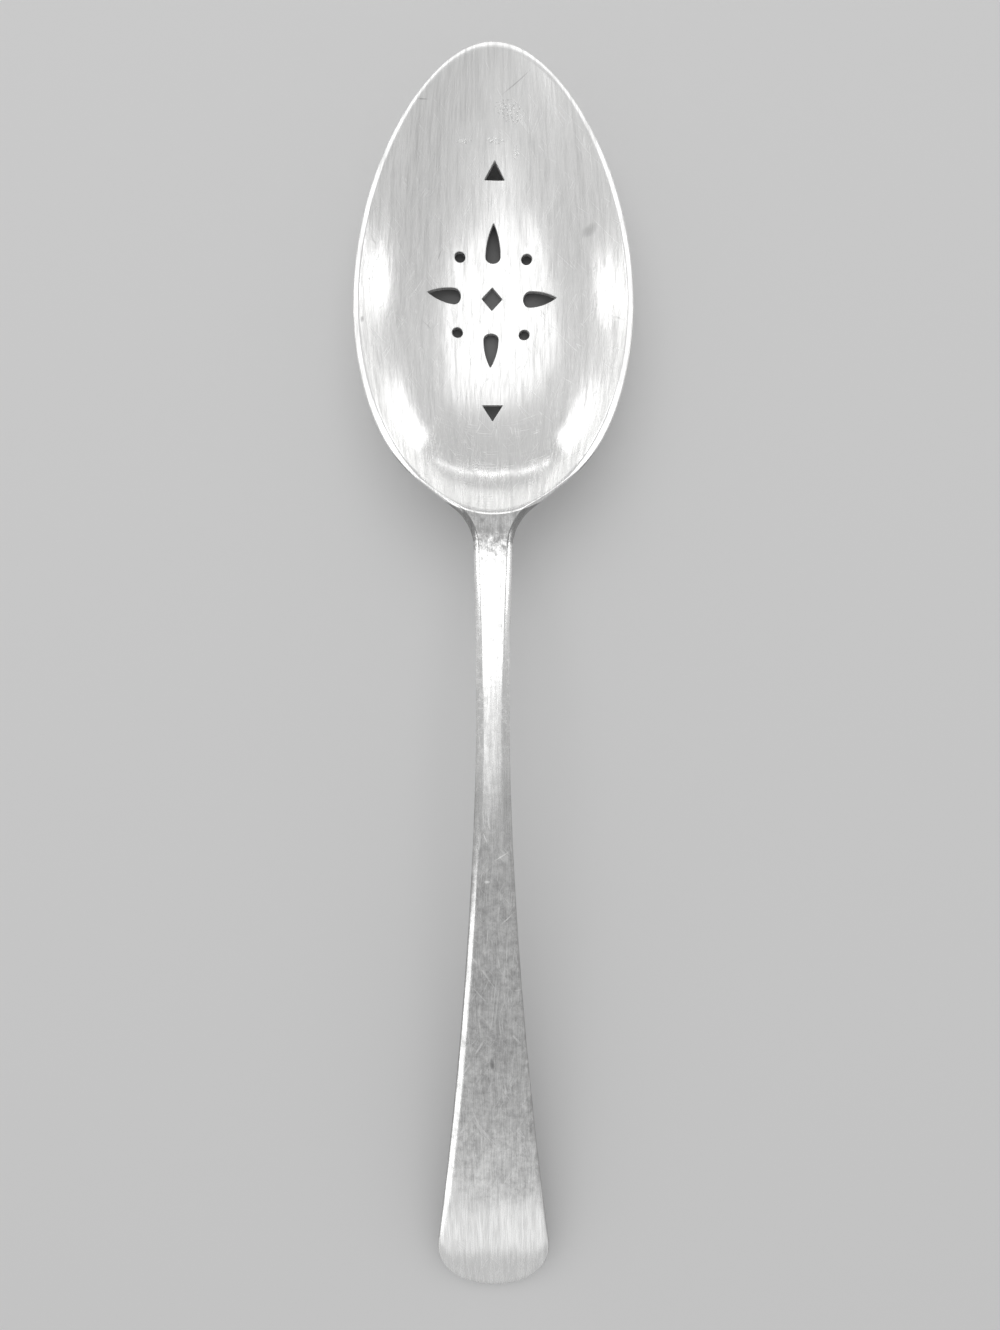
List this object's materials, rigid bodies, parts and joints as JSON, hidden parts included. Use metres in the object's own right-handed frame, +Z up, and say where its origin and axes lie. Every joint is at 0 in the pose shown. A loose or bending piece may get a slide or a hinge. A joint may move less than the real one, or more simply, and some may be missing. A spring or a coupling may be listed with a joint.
{
  "type": "slotted spoon",
  "caption": "Pierced table spoon with an egg-shaped bowl, a star pattern of cut openings, and a plain bevelled stem that arches and turns down at its end.",
  "frame": {"origin": "centre of the bounding box on the surface the spoon lies on, under the bowl's lowest point and the underside of the stem's end", "axes": "+Z up, with the hollow of the bowl facing up; +Y along the spoon from the end of the stem to the tip of the bowl; +X across it, to the right in the picture"},
  "size_m": [0.0472, 0.2152, 0.0239],
  "materials": {
    "silver_plate": "satin"
  },
  "bodies": {
    "root": {"pierced_spoon": "silver_plate"}
  },
  "joints": []
}
